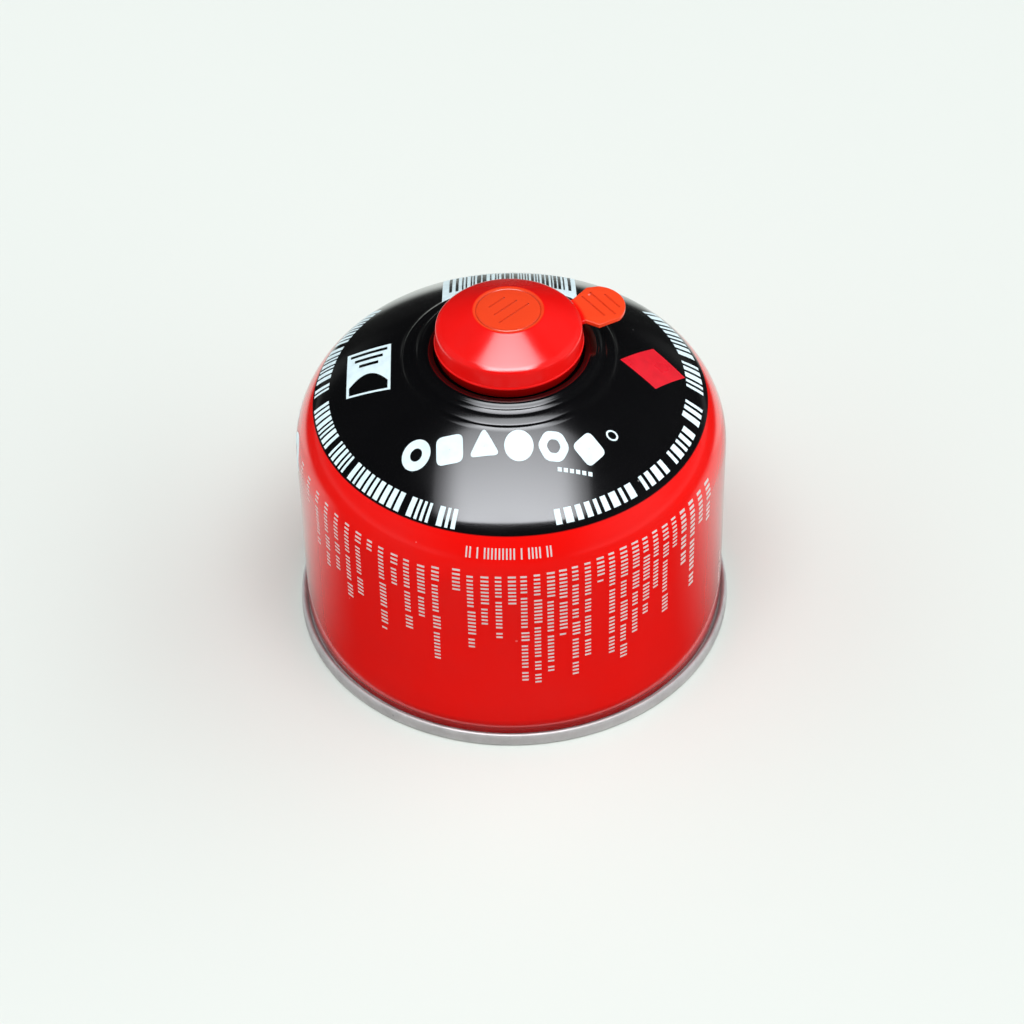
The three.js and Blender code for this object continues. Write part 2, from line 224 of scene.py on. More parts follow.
def rounded(points, radius, steps=4, closed=False):
    """Rounds the corners of an (r, z) outline by short arcs of about the radius given."""
    result = []
    count = len(points)
    for i, (x, y) in enumerate(points):
        if not closed and i in (0, count - 1):
            result.append((x, y))
            continue
        before = Vector(points[i - 1]) - Vector((x, y))
        after = Vector(points[(i + 1) % count]) - Vector((x, y))
        reach = min(radius, before.length * 0.45, after.length * 0.45)
        a = Vector((x, y)) + before.normalized() * reach
        b = Vector((x, y)) + after.normalized() * reach
        for k in range(steps + 1):
            t = k / steps
            p = a * (1 - t) ** 2 + Vector((x, y)) * 2 * t * (1 - t) + b * t * t
            result.append((p.x, p.y))
    return result


# Mesh helpers

def link(data, name):
    thing = bpy.data.objects.new(name, data)
    bpy.context.scene.collection.objects.link(thing)
    return thing


def finish_shading(mesh, angle=SHARP_ANGLE):
    """Turns the faces outward and shades them smooth, with sharp edges from an angle on."""
    bm = bmesh.new()
    bm.from_mesh(mesh)
    bmesh.ops.recalc_face_normals(bm, faces=bm.faces)
    for face in bm.faces:
        face.smooth = True
    for edge in bm.edges:
        edge.smooth = len(edge.link_faces) == 2 and edge.calc_face_angle(0) < angle
    bm.to_mesh(mesh)
    bm.free()


def revolve(bm, outline, facets, closed=False):
    """Turns an (r, z) outline in millimetres about Z into a closed skin."""
    rings = []
    for r, z in outline:
        if r < 1e-6:
            rings.append([bm.verts.new((0, 0, z * MM))])
            continue
        ring = []
        for i in range(facets):
            angle = 2 * math.pi * i / facets
            ring.append(bm.verts.new((r * MM * math.cos(angle), r * MM * math.sin(angle), z * MM)))
        rings.append(ring)
    pairs = list(zip(rings, rings[1:]))
    if closed:
        pairs.append((rings[-1], rings[0]))
    for low, high in pairs:
        for i in range(facets):
            j = (i + 1) % facets
            if len(low) == 1 and len(high) == 1:
                continue
            if len(low) == 1:
                bm.faces.new((low[0], high[j], high[i]))
            elif len(high) == 1:
                bm.faces.new((low[i], low[j], high[0]))
            else:
                bm.faces.new((low[i], low[j], high[j], high[i]))


def make_piece(name, bm, angle=SHARP_ANGLE):
    """Makes an object of a bmesh and shades it, or leaves it unshaded where the angle is None."""
    mesh = bpy.data.meshes.new(name)
    bm.to_mesh(mesh)
    bm.free()
    if angle is not None:
        finish_shading(mesh, angle)
    return link(mesh, name)


def turned_piece(name, outline, facets=FINE_FACETS, closed=False):
    bm = bmesh.new()
    revolve(bm, outline, facets, closed)
    return make_piece(name, bm)


def bridge(bm, rings):
    """Joins closed rings of equal length into a tube with open ends."""
    for a, b in zip(rings, rings[1:]):
        for i in range(len(a)):
            j = (i + 1) % len(a)
            bm.faces.new((a[i], a[j], b[j], b[i]))


def tube(bm, rings):
    """Joins rings into a tube with closed ends."""
    bridge(bm, rings)
    bm.faces.new(rings[0])
    bm.faces.new(reversed(rings[-1]))


def dress(piece, material):
    piece.data.materials.clear()
    piece.data.materials.append(material)


# Shader node helpers

def new_material(name):
    """Makes a material and returns it with its tree, its shader and the object's coordinates."""
    material = bpy.data.materials.new(name)
    material.use_nodes = True
    tree = material.node_tree
    position = tree.nodes.new("ShaderNodeTexCoord").outputs["Object"]
    return material, tree, tree.nodes["Principled BSDF"], position


def dim(values, share):
    return tuple(value * share for value in values)


def feed(tree, socket, value):
    """Links another node's output to a socket, or sets the socket to a number or a colour."""
    if isinstance(value, bpy.types.NodeSocket):
        tree.links.new(value, socket)
    elif isinstance(value, (int, float)):
        socket.default_value = value
    else:
        socket.default_value = (*value, 1)


def math_node(tree, operation, a, b=None):
    node = tree.nodes.new("ShaderNodeMath")
    node.operation = operation
    feed(tree, node.inputs[0], a)
    if b is not None:
        feed(tree, node.inputs[1], b)
    return node.outputs[0]


def product(tree, first, *others):
    for other in others:
        first = math_node(tree, "MULTIPLY", first, other)
    return first


def map_range(tree, value, low, high, to_low=0.0, to_high=1.0):
    node = tree.nodes.new("ShaderNodeMapRange")
    tree.links.new(value, node.inputs["Value"])
    ends = {"From Min": low, "From Max": high, "To Min": to_low, "To Max": to_high}
    for name, end in ends.items():
        node.inputs[name].default_value = end
    return node.outputs["Result"]


def fade(tree, value, low, high, to_low=0.0, to_high=1.0):
    """A range whose ends run out smoothly."""
    result = map_range(tree, value, low, high, to_low, to_high)
    result.node.interpolation_type = "SMOOTHSTEP"
    return result


def mix_colour(tree, factor, a, b):
    node = tree.nodes.new("ShaderNodeMix")
    node.data_type = "RGBA"
    for index, value in ((0, factor), (6, a), (7, b)):
        feed(tree, node.inputs[index], value)
    return node.outputs[2]


def mix_shader(tree, factor, a, b):
    node = tree.nodes.new("ShaderNodeMixShader")
    for socket, value in zip(node.inputs, (factor, a, b)):
        tree.links.new(value, socket)
    return node.outputs[0]


def axes(tree, vector):
    """Outputs of a node that splits a vector into X, Y and Z."""
    node = tree.nodes.new("ShaderNodeSeparateXYZ")
    tree.links.new(vector, node.inputs[0])
    return node.outputs


def axis_distance(tree, parts):
    """Distance from the Z axis of a position given as its X, Y and Z."""
    flat = tree.nodes.new("ShaderNodeCombineXYZ")
    length = tree.nodes.new("ShaderNodeVectorMath")
    length.operation = "LENGTH"
    for axis in "XY":
        tree.links.new(parts[axis], flat.inputs[axis])
    tree.links.new(flat.outputs[0], length.inputs[0])
    return length.outputs["Value"]


def noise(tree, vector, scale, detail=3.0, roughness=0.5):
    node = tree.nodes.new("ShaderNodeTexNoise")
    for name, value in (("Vector", vector), ("Scale", scale), ("Detail", detail), ("Roughness", roughness)):
        feed(tree, node.inputs[name], value)
    return node.outputs["Fac"]


def new_group(name, inputs, outputs):
    """Makes a node group that takes a vector and the inputs, and puts out values."""
    group = bpy.data.node_groups.new(name, "ShaderNodeTree")
    group.interface.new_socket(name="Vector", in_out="INPUT", socket_type="NodeSocketVector")
    for key, default in inputs.items():
        socket = group.interface.new_socket(name=key, in_out="INPUT", socket_type="NodeSocketFloat")
        socket.default_value = default
    for key in outputs:
        group.interface.new_socket(name=key, in_out="OUTPUT", socket_type="NodeSocketFloat")
    source = group.nodes.new("NodeGroupInput").outputs
    result = group.nodes.new("NodeGroupOutput").inputs
    return group, source, result


def surface_unevenness_group(name):
    """Cloudy gloss and a faint ripple that every coated or moulded surface shares."""
    group, source, result = new_group(
        name, {"Cloud Scale": 60.0, "Ripple Scale": 900.0, "Roughness Low": 0.1, "Roughness High": 0.2},
        ("Roughness", "Height"))
    cloud = noise(group, source["Vector"], source["Cloud Scale"], 4.0)
    ripple = noise(group, source["Vector"], source["Ripple Scale"], 2.0)
    ranged = map_range(group, cloud, 0.3, 0.7)
    group.links.new(source["Roughness Low"], ranged.node.inputs["To Min"])
    group.links.new(source["Roughness High"], ranged.node.inputs["To Max"])
    group.links.new(ranged, result["Roughness"])
    group.links.new(ripple, result["Height"])
    return group


def dust_specks_group(name):
    """Sparse pale specks of dust and pin-holes in the coating."""
    group, source, result = new_group(name, {"Scale": 220.0, "Size": 0.1, "Share": 0.1}, ("Mask",))
    cells = group.nodes.new("ShaderNodeTexVoronoi")
    group.links.new(source["Vector"], cells.inputs["Vector"])
    group.links.new(source["Scale"], cells.inputs["Scale"])
    near = math_node(group, "LESS_THAN", cells.outputs["Distance"], source["Size"])
    parts = group.nodes.new("ShaderNodeSeparateColor")
    group.links.new(cells.outputs["Color"], parts.inputs["Color"])
    chosen = math_node(group, "LESS_THAN", parts.outputs["Red"], source["Share"])
    group.links.new(product(group, near, chosen), result["Mask"])
    return group


SHARED_GROUPS = {"surface_unevenness": surface_unevenness_group, "dust_specks": dust_specks_group}


def use_group(tree, name, vector, **values):
    """Adds a shared group, which is made on its first use, and returns its outputs."""
    node = tree.nodes.new("ShaderNodeGroup")
    node.node_tree = bpy.data.node_groups.get(name) or SHARED_GROUPS[name](name)
    tree.links.new(vector, node.inputs["Vector"])
    for key, value in values.items():
        node.inputs[key.replace("_", " ").title()].default_value = value
    return node.outputs


def speckle(tree, position, base, cover, dust, **sizes):
    """Lays sparse specks of a colour over a base colour."""
    mask = product(tree, use_group(tree, "dust_specks", position, **sizes)["Mask"], cover)
    return mix_colour(tree, mask, base, dust)


def uneven_gloss(tree, shader, position, depth, relief=None, **values):
    """Links the shared cloudy gloss to a shader, and ripples of a depth in millimetres."""
    gloss = use_group(tree, "surface_unevenness", position, **values)
    tree.links.new(gloss["Roughness"], shader.inputs["Roughness"])
    height = gloss["Height"]
    if relief is not None:
        height = math_node(tree, "ADD", relief, height)
    bump = tree.nodes.new("ShaderNodeBump")
    bump.inputs["Distance"].default_value = depth * MM
    tree.links.new(height, bump.inputs["Height"])
    tree.links.new(bump.outputs["Normal"], shader.inputs["Normal"])


# Materials

def lacquer_material():
    """Glossy printed coating: black above the print edge, red below, with dust, cloudy gloss and painted
    shade at the foot.
    """
    looks = bpy.context.scene.finishes
    material, tree, shader, position = new_material("printed_lacquer")
    height = axes(tree, position)["Z"]
    edge = can_sizes().black_edge
    above = math_node(tree, "ADD", height, product(tree, noise(tree, position, 25.0), 0.10 * MM))
    black_mask = map_range(tree, above, edge - 0.06 * MM, edge + 0.16 * MM)
    tint = map_range(tree, noise(tree, position, 18.0), 0.35, 0.65)
    reds = mix_colour(tree, tint, looks.red, dim(looks.red, 0.93))
    # Painted shade: the wall's colour darkens where it goes down into the foot seam, standing in for the
    # shadow there
    painted_foot_shade = map_range(tree, height, (SEAM_TOP + 0.8) * MM, (SEAM_TOP + 3.8) * MM, 0.60, 0.0)
    reds_with_painted_shade = mix_colour(tree, painted_foot_shade, reds, dim(looks.red, 0.20))
    base = mix_colour(tree, black_mask, reds_with_painted_shade, looks.black)
    dusty = speckle(tree, position, base, 0.16, (0.75, 0.72, 0.70), scale=170.0, size=0.055, share=0.22)
    tree.links.new(dusty, shader.inputs["Base Color"])
    uneven_gloss(tree, shader, position, 0.004,
                 cloud_scale=70.0, ripple_scale=420.0, roughness_low=0.13, roughness_high=0.19)
    shader.inputs["Coat Weight"].default_value = 1.0
    shader.inputs["Coat Roughness"].default_value = 0.10
    shader.inputs["Coat IOR"].default_value = 1.62
    return material


def ink_material(name, values, low, high):
    """Printed ink: slightly uneven cover and a little less gloss than the lacquer under it."""
    material, tree, shader, position = new_material(name)
    cover = map_range(tree, noise(tree, position, 380.0, 4.0), 0.35, 0.75)
    tree.links.new(mix_colour(tree, cover, values, dim(values, 0.86)), shader.inputs["Base Color"])
    uneven_gloss(tree, shader, position, 0.004,
                 cloud_scale=120.0, ripple_scale=700.0, roughness_low=low, roughness_high=high)
    return material


def tinplate_material():
    """Bare rolled tinplate: fine turning lines round the axis, dull patches and handling marks."""
    metal = bpy.context.scene.finishes.metal
    material, tree, shader, position = new_material("bare_tinplate")
    parts = axes(tree, position)
    turned = tree.nodes.new("ShaderNodeCombineXYZ")
    tree.links.new(axis_distance(tree, parts), turned.inputs["X"])
    tree.links.new(parts["Z"], turned.inputs["Z"])
    lines = noise(tree, turned.outputs[0], 3200.0, 2.0)
    patches = map_range(tree, noise(tree, position, 150.0, 5.0, 0.65), 0.35, 0.7)
    base = mix_colour(tree, patches, metal, dim(metal, 0.80))
    spotted = speckle(tree, position, base, 0.35, (0.20, 0.18, 0.17), scale=420.0, size=0.16, share=0.12)
    tree.links.new(spotted, shader.inputs["Base Color"])
    uneven_gloss(tree, shader, position, 0.010, product(tree, lines, 0.6),
                 cloud_scale=240.0, ripple_scale=1500.0, roughness_low=0.34, roughness_high=0.50)
    shader.inputs["Metallic"].default_value = 0.42
    return material


def cap_material():
    """Glossy moulded plastic with faint flow clouds, fine moulded grain, a few specks of dust, a painted
    sheen on the disc and tab, and painted shade under the ridge and in the engraved lines.
    """
    looks = bpy.context.scene.finishes
    sizes = bpy.context.scene.cap_sizes
    material, tree, shader, position = new_material("cap_plastic")
    parts = axes(tree, position)
    reach = axis_distance(tree, parts)
    flow = map_range(tree, noise(tree, position, 90.0, 3.0), 0.35, 0.65)
    sides = mix_colour(tree, flow, looks.cap_red, dim(looks.cap_red, 0.95))
    disc = map_range(tree, reach, sizes.disc_radius, sizes.disc_radius - 0.3 * MM)
    tab = map_range(tree, reach, sizes.radius + 0.6 * MM, sizes.radius + 1.4 * MM)
    # Painted sheen: the disc and the tab are given the lighter orange top colour
    face = mix_colour(tree, math_node(tree, "MAXIMUM", disc, tab), sides, looks.cap_top_sheen)
    # Painted shade: the skirt under the ridge is darkened, and the engraved lines are darkened by ambient
    # occlusion
    painted_skirt_shade = map_range(tree, parts["Z"], CAP_LOW.z + 2.3 * MM, CAP_LOW.z + 3.3 * MM, 0.72, 0.0)
    base = mix_colour(tree, painted_skirt_shade, face, dim(looks.cap_red, 0.12))
    # Painted shade in the engraved lines and crevices, from ambient occlusion
    groove_occlusion = tree.nodes.new("ShaderNodeAmbientOcclusion")
    groove_occlusion.samples = 8
    groove_occlusion.inputs["Distance"].default_value = 0.35 * MM
    painted_groove_shade = map_range(tree, groove_occlusion.outputs["AO"], 0.35, 0.90, 0.80, 0.0)
    groove_shaded = mix_colour(tree, painted_groove_shade, base, dim(looks.cap_top_sheen, 0.20))
    dusty = speckle(tree, position, groove_shaded, 0.35, (0.80, 0.55, 0.50), scale=260.0, size=0.09, share=0.16)
    tree.links.new(dusty, shader.inputs["Base Color"])
    uneven_gloss(tree, shader, position, 0.006,
                 cloud_scale=140.0, ripple_scale=1100.0, roughness_low=0.18, roughness_high=0.27)
    # The cone and the disc are polished, and what lies below them is duller
    rim = CAP_HIGH.z - sizes.cone_drop
    polish = map_range(tree, parts["Z"], rim - 1.6 * MM, rim - 0.5 * MM, 0.20, 1.0)
    tree.links.new(polish, shader.inputs["Coat Weight"])
    shader.inputs["Coat Roughness"].default_value = 0.12
    shader.inputs["Coat IOR"].default_value = 1.75
    return material


def small_part_material(name, values, low, high, metallic=0.0, grain=900.0):
    """Finish of the small hidden valve parts: one colour with mottling, grain and varying gloss."""
    material, tree, shader, position = new_material(name)
    mottle = map_range(tree, noise(tree, position, grain * 0.3, 4.0), 0.3, 0.7)
    tree.links.new(mix_colour(tree, mottle, values, dim(values, 0.78)), shader.inputs["Base Color"])
    uneven_gloss(tree, shader, position, 0.010, cloud_scale=grain * 0.5, ripple_scale=grain * 3,
                 roughness_low=low, roughness_high=high)
    shader.inputs["Metallic"].default_value = metallic
    return material


# Can body

def can_outline():
    """Outer section of the can body, from its underside to the well of the valve."""
    s = can_sizes()
    shape = dome_geometry()
    wall = shape["wall"]
    seam_end = SEAM_TOP + 1.6
    outer = s.step_radius / MM
    end_radius = outer + 0.275
    end_angle = math.acos((end_radius - shape["dome_r"]) / shape["dome"])
    top = surface_height(end_radius, shape)
    inner = s.inner_step_radius / MM
    bead = s.bead_radius / MM
    cap = bpy.context.scene.cap_sizes.radius / MM
    # Radius, and rise above the dome's inner edge
    steps = smooth_line([(r, top + rise) for r, rise in (
        (end_radius - 0.02, 0.03), (outer - 0.1, 0.42), (outer - 0.6, 0.72),
        (inner + 1.9, 1.28), (inner + 1.0, 1.60), (inner + 0.35, 2.00), (inner - 0.1, 2.38),
        (inner - 0.7, 2.70), ((inner + bead) / 2 - 0.2, 2.98), (bead, 3.1),
        (cap + 1.5, 2.85), (cap + 0.8, 2.35), (cap + 0.3, 1.7), (cap - 0.3, 1.4))], 5)
    curl = CUP_HIGH.x / MM - 0.8
    curl_top = CUP_HIGH.z / MM - BOSS_RISE - 1.25
    curl_inner = 13.0
    well = 4.6
    well_top = CUP_LOW.z / MM - 0.3
    well_floor = well_top - 6.0
    return [
        (0, 12.8), (40.0, 9.4), (50.0, 6.6), (wall - 0.3, 2.5), (wall - 0.3, SEAM_TOP + 0.4),
        (wall - 0.22, SEAM_TOP + 0.75), (wall - 0.06, SEAM_TOP + 1.2), (wall, seam_end),
        *[(wall, seam_end + (shape["top"] - seam_end) * i / 6) for i in range(1, 6)],
        *arc(shape["shoulder_centre"], shape["top"], shape["shoulder"], 0, shape["angle"], 24),
        *arc(shape["dome_r"], shape["dome_z"], shape["dome"], shape["angle"], end_angle, 20)[1:],
        *steps,
        (curl, top + 1.4), (curl, curl_top - 0.5), (curl - 0.2, curl_top - 0.15), (curl - 0.5, curl_top),
        (curl_inner + 0.5, curl_top), (curl_inner + 0.15, curl_top - 0.15), (curl_inner, curl_top - 0.5),
        (curl_inner, well_top), (well, well_top), (well, well_floor), (0, well_floor),
    ]


class CANISTER_OT_add_body(Operator):
    """Turn the drawn can body with its lacquer"""
    bl_idname = "canister.add_body"
    bl_label = "Add can body"

    def execute(self, context):
        body = turned_piece("can_shell", can_outline(), context.scene.stage_settings.facets)
        dress(body, lacquer_material())
        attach(body, "can")
        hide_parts("can_body")
        return {"FINISHED"}


# Printed marks: thin raised ink that follows the surface

# How far the ink stands out of the surface and goes into it, in millimetres
INK_PROUD = 0.03
INK_SUNK = 0.03
# Gaps in millimetres between the bars of the rim and between their groups, and the same for ticks
RIM_GAP, RIM_GROUP_GAP = 0.85, 1.6
TICK_GAP, TICK_GROUP_GAP = 0.68, 0.90
# Places on the dome in millimetres from the axis, as (x, y)
EMBLEM_CENTRES = (
    (-22.6, -28.9), (-14.6, -29.6), (-6.4, -30.0), (1.8, -30.2), (10.0, -30.0), (18.4, -29.4))
LOZENGE_CORNERS = ((35.2, -7.6), (42.9, 1.3), (35.3, 7.2), (26.8, -2.1))
# Bars round the rim: seed, bearings of both ends in degrees from the front, inner and outer radius
# in millimetres, factor on the bars' width, share of groups with short bars
RIM_STRETCHES = (
    (11, -86, -14.5, 44.4, 48.1, 0.82, 0.0),
    (12, -134, -90, 44.4, 48.1, 0.82, 0.0),
    (21, 12.5, 84, 43.1, 47.3, 1.1, 0.6),
    (22, 88, 132, 43.1, 47.3, 1.1, 0.6),
)


def on_dome(shape):
    """Maps plan coordinates (x, y) in millimetres onto the dome."""
    inner = can_sizes().step_radius / MM + 0.4

    def place(x, y, lift):
        reach = math.hypot(x, y)
        radius = max(reach, inner)
        radial, upward = surface_normal(radius, shape)
        out = radius + radial * lift
        height = surface_height(radius, shape) + upward * lift
        return Vector((x / reach * out, y / reach * out, height)) * MM
    return place


def on_band(shape):
    """Maps (bearing in degrees from the front, radius) onto the dome or shoulder."""
    dome = on_dome(shape)

    def place(bearing, radius, lift):
        angle = math.radians(bearing)
        return dome(radius * math.sin(angle), -radius * math.cos(angle), lift)
    return place


def on_wall(shape):
    """Maps (bearing in degrees from the front, height) onto the wall or shoulder."""
    def place(bearing, height, lift):
        radius = radius_at(height, shape)
        angle = math.radians(bearing)
        radial, upward = (1, 0) if height <= shape["top"] else surface_normal(radius, shape)
        out = radius + radial * lift
        return Vector((out * math.sin(angle), -out * math.cos(angle), height + upward * lift)) * MM
    return place


def ink_grid(bm, place, rows, closed_rows=False):
    """Adds one closed mark whose face is a grid of 2D points, as rows of equal length."""
    faces = []
    for lift in (INK_PROUD, -INK_SUNK):
        faces.append([[bm.verts.new(place(u, v, lift)) for u, v in row] for row in rows])
    top, low = faces
    count = len(rows[0])
    spans = count if closed_rows else count - 1
    for a, b, c, d in zip(top, top[1:], low, low[1:]):
        for i in range(spans):
            j = (i + 1) % count
            bm.faces.new((a[i], a[j], b[j], b[i]))
            bm.faces.new((c[i], d[i], d[j], c[j]))
    for i in range(spans):
        j = (i + 1) % count
        for upper, lower in ((top[0], low[0]), (top[-1], low[-1])):
            bm.faces.new((upper[i], lower[i], lower[j], upper[j]))
    if not closed_rows:
        for k in range(len(rows) - 1):
            for i in (0, count - 1):
                bm.faces.new((top[k][i], top[k + 1][i], low[k + 1][i], low[k][i]))


def bar(bm, place, u0, u1, v0, v1, cuts_u=1, cuts_v=1):
    """Adds a straight bar between two corners, cut into a grid so that it follows the surface."""
    ink_grid(bm, place, [[(u0 + (u1 - u0) * i / cuts_u, v0 + (v1 - v0) * k / cuts_v)
                          for i in range(cuts_u + 1)] for k in range(cuts_v + 1)])


def star_shape(bm, place, centre, outline, hole, rings):
    """Adds a filled or holed shape from an outline of offsets round its centre."""
    cx, cy = centre
    inner = max(hole, 0.02)
    rows = []
    for k in range(rings + 1):
        share = inner + (1 - inner) * k / rings
        rows.append([(cx + x * share, cy + y * share) for x, y in outline])
    ink_grid(bm, place, rows, closed_rows=True)


def ring_outline(size_x, size_y, count=48, turn=0.0):
    """Points round an ellipse, as offsets from its centre."""
    angles = [turn + 2 * math.pi * i / count for i in range(count)]
    return [(size_x * math.cos(angle), size_y * math.sin(angle)) for angle in angles]


def polygon_outline(sides, size_x, size_y, turn=0.0):
    """Outline of a polygon with softened corners, as offsets from its centre."""
    soft = rounded(ring_outline(size_x, size_y, sides, turn), 0.35 * size_x, 4, closed=True)
    outline = []
    for (x0, y0), (x1, y1) in zip(soft, soft[1:] + soft[:1]):
        count = max(1, round(math.hypot(x1 - x0, y1 - y0) / 0.8))
        outline.extend((x0 + (x1 - x0) * i / count, y0 + (y1 - y0) * i / count) for i in range(count))
    return outline


def print_piece(name, bm, material):
    piece = make_piece(name, bm)
    dress(piece, material)
    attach(piece, "can")


def emblem_shapes(bm, place, centres, size_x, size_y):
    """A row of bold plain shapes: ring, square, triangle, disc, holed hexagon and rhombus."""
    kinds = [
        (ring_outline(size_x, size_y), 0.42),
        (polygon_outline(4, size_x * 1.30, size_y * 1.30, math.pi / 4), 0.0),
        (polygon_outline(3, size_x * 1.25, size_y * 1.25, math.pi / 2), 0.0),
        (ring_outline(size_x, size_y), 0.0),
        (polygon_outline(6, size_x * 1.12, size_y * 1.12), 0.45),
        (polygon_outline(4, size_x * 1.2, size_y * 1.2), 0.0),
    ]
    for centre, (outline, hole) in zip(centres, kinds):
        star_shape(bm, place, centre, outline, hole, rings=5)


def rim_marks(bm, place, seed, start, end, low, high, bold, short):
    """Upright bars in groups along a stretch of the dome's rim, some groups of short bars."""
    rng = random.Random(seed)
    bearing = start
    per_mm = math.degrees(2 / (low + high))
    while bearing < end:
        top = low + (high - low) * (0.30 if rng.random() < short else 0.0)
        for _ in range(rng.randint(4, 9)):
            width = rng.choice((0.9, 1.3, 1.7)) * bold
            span = width * per_mm
            if bearing + span > end:
                return
            bar(bm, place, bearing, bearing + span, top, high, 2, 4)
            bearing += span + RIM_GAP * per_mm * bold
        bearing += RIM_GROUP_GAP * per_mm * bold


def tick_line(bm, place, bearing, top, bottom, width, seed, weight):
    """One column of plain ticks running down the wall in groups of equal ticks."""
    rng = random.Random(seed)
    half = math.degrees(width / 2 / (can_sizes().wall_radius / MM))
    height = top
    while height > bottom + weight:
        reach = rng.choice((1.0, 0.6, 0.6))
        for _ in range(rng.randint(3, 9)):
            if height - weight < bottom:
                return
            bar(bm, place, bearing - half, bearing + half * reach, height - weight, height, 2, 1)
            height -= weight + TICK_GAP
        height -= TICK_GROUP_GAP


# Ticked columns on the wall: bearing in degrees from the front, top and bottom height in millimetres
WALL_COLUMNS = (
    {"seed": 100, "width": 1.9, "weight": 0.52, "lines": (
        (-15.0, 58.0, 50.0), (-11.2, 56.6, 31.5), (-7.6, 56.8, 39.0), (-3.9, 56.9, 36.0),
        (-0.6, 57.0, 47.0), (2.6, 57.0, 20.5), (6.0, 57.2, 19.5), (9.4, 57.4, 23.0),
        (12.6, 57.6, 36.0), (16.0, 57.8, 21.5), (19.4, 58.0, 26.0), (22.8, 58.4, 50.0),
        (26.2, 58.6, 25.0), (29.6, 58.8, 22.0), (33.2, 58.8, 29.0), (36.6, 58.6, 33.0),
        (40.0, 58.8, 40.0), (43.4, 58.6, 29.0), (47.0, 58.8, 49.0))},
    {"seed": 200, "width": 1.9, "weight": 0.52, "lines": (
        (-20.6, 57.4, 26.5), (-24.6, 56.8, 38.5), (-28.6, 57.0, 33.0), (-32.4, 57.2, 46.5),
        (-36.4, 57.4, 29.5), (-40.2, 57.6, 53.5), (-44.4, 57.8, 36.5), (-48.6, 58.0, 33.5),
        (-53.2, 58.0, 39.0), (-58.0, 58.2, 37.5), (-63.0, 58.2, 41.0), (-69.0, 58.4, 50.0),
        (-75.0, 58.4, 49.0))},
    {"seed": 300, "width": 2.4, "weight": 0.80, "lines": (
        (50.8, 58.8, 40.5), (54.8, 59.0, 31.0), (59.0, 59.0, 49.0), (63.4, 59.0, 45.0))},
    {"seed": 401, "width": 1.9, "weight": 0.52, "lines": ((77.0, 24.0, 12.0),)},
)


class CANISTER_OT_add_print(Operator):
    """Lay the plain printed marks on the dome and the wall"""
    bl_idname = "canister.add_print"
    bl_label = "Add printed marks"

    def execute(self, context):
        shape = dome_geometry()
        dome, band, wall = on_dome(shape), on_band(shape), on_wall(shape)
        ink = tuple(context.scene.finishes.ink)
        pale = ink_material("pale_ink", ink, 0.28, 0.40)
        wall_pale = ink_material("wall_ink", (ink[0] * 0.92, ink[1] * 0.62, ink[2] * 0.58), 0.28, 0.40)
        black = ink_material("black_ink", context.scene.finishes.black, 0.22, 0.32)
        red = ink_material("red_ink", (0.73, 0.005, 0.018), 0.24, 0.34)

        bm = bmesh.new()
        emblem_shapes(bm, dome, EMBLEM_CENTRES, 3.45, 3.5)
        star_shape(bm, dome, (24.0, -24.9), ring_outline(1.45, 1.25, 32), 0.7, rings=1)
        for i in range(6):
            left = 10.8 + i * 1.45
            bar(bm, dome, left, left + 0.95, -35.4, -34.5)
        print_piece("dome_emblem", bm, pale)

        bm = bmesh.new()
        for stretch in RIM_STRETCHES:
            rim_marks(bm, band, *stretch)
        print_piece("rim_marks", bm, pale)

        def left_panel(s, t, lift):
            return dome(-28.8 - s, t + 0.30 * s, lift)

        def raised(place):
            return lambda u, v, lift: place(u, v, lift + 2 * INK_PROUD)

        bm = bmesh.new()
        bar(bm, left_panel, 0, 11.0, -9.2, 7.3, 8, 12)
        print_piece("left_panel", bm, pale)
        bm = bmesh.new()
        crests = [0.5 + 5.6 * math.sin(math.pi * (0.12 + 0.76 * i / 14)) for i in range(15)]
        hill = [[(0.7 + 9.6 * i / 14, -8.6 + crest * k / 6) for i, crest in enumerate(crests)]
                for k in range(7)]
        ink_grid(bm, raised(left_panel), hill)
        for line, (start, end) in enumerate(((0.9, 10.1), (2.0, 9.0), (3.1, 7.9))):
            low = 5.2 - line * 2.3
            bar(bm, raised(left_panel), start, end, low, low + 1.0, 6, 1)
        print_piece("left_panel_marks", bm, black)

        bm = bmesh.new()
        corners = [Vector(corner) for corner in LOZENGE_CORNERS]
        rows = []
        for k in range(9):
            a = corners[0].lerp(corners[3], k / 8)
            b = corners[1].lerp(corners[2], k / 8)
            rows.append([tuple(a.lerp(b, i / 8)) for i in range(9)])
        ink_grid(bm, dome, rows)
        print_piece("right_lozenge", bm, red)

        bm = bmesh.new()
        bar(bm, dome, -16.3, 17.0, 20.5, 44.0, 28, 24)
        print_piece("back_panel", bm, pale)
        bm = bmesh.new()
        rng = random.Random(5)
        x = -14.6
        while x < 15.4:
            width = rng.choice((0.35, 0.35, 0.7, 1.0))
            bar(bm, raised(dome), x, x + width, 26.5, 42.5, 1, 8)
            x += width + rng.choice((0.35, 0.55, 0.9))
        print_piece("back_panel_bars", bm, black)

        bm = bmesh.new()
        rng = random.Random(8)
        bearing = -12.8
        while bearing < 10.2:
            if rng.random() > 0.14:
                bar(bm, wall, bearing, bearing + 0.42, 61.2, 63.6, 1, 3)
            bearing += 0.98
        for group in WALL_COLUMNS:
            for i, (bearing, top, bottom) in enumerate(group["lines"]):
                tick_line(bm, wall, bearing, top, bottom, group["width"], group["seed"] + i, group["weight"])
        print_piece("wall_columns", bm, wall_pale)

        bm = bmesh.new()
        emblem_shapes(bm, wall, [(-85.0 - 13.0 * i, 54.2) for i in range(6)], 5.2, 5.0)
        print_piece("wall_emblem", bm, pale)
        return {"FINISHED"}


# Foot seam and base end

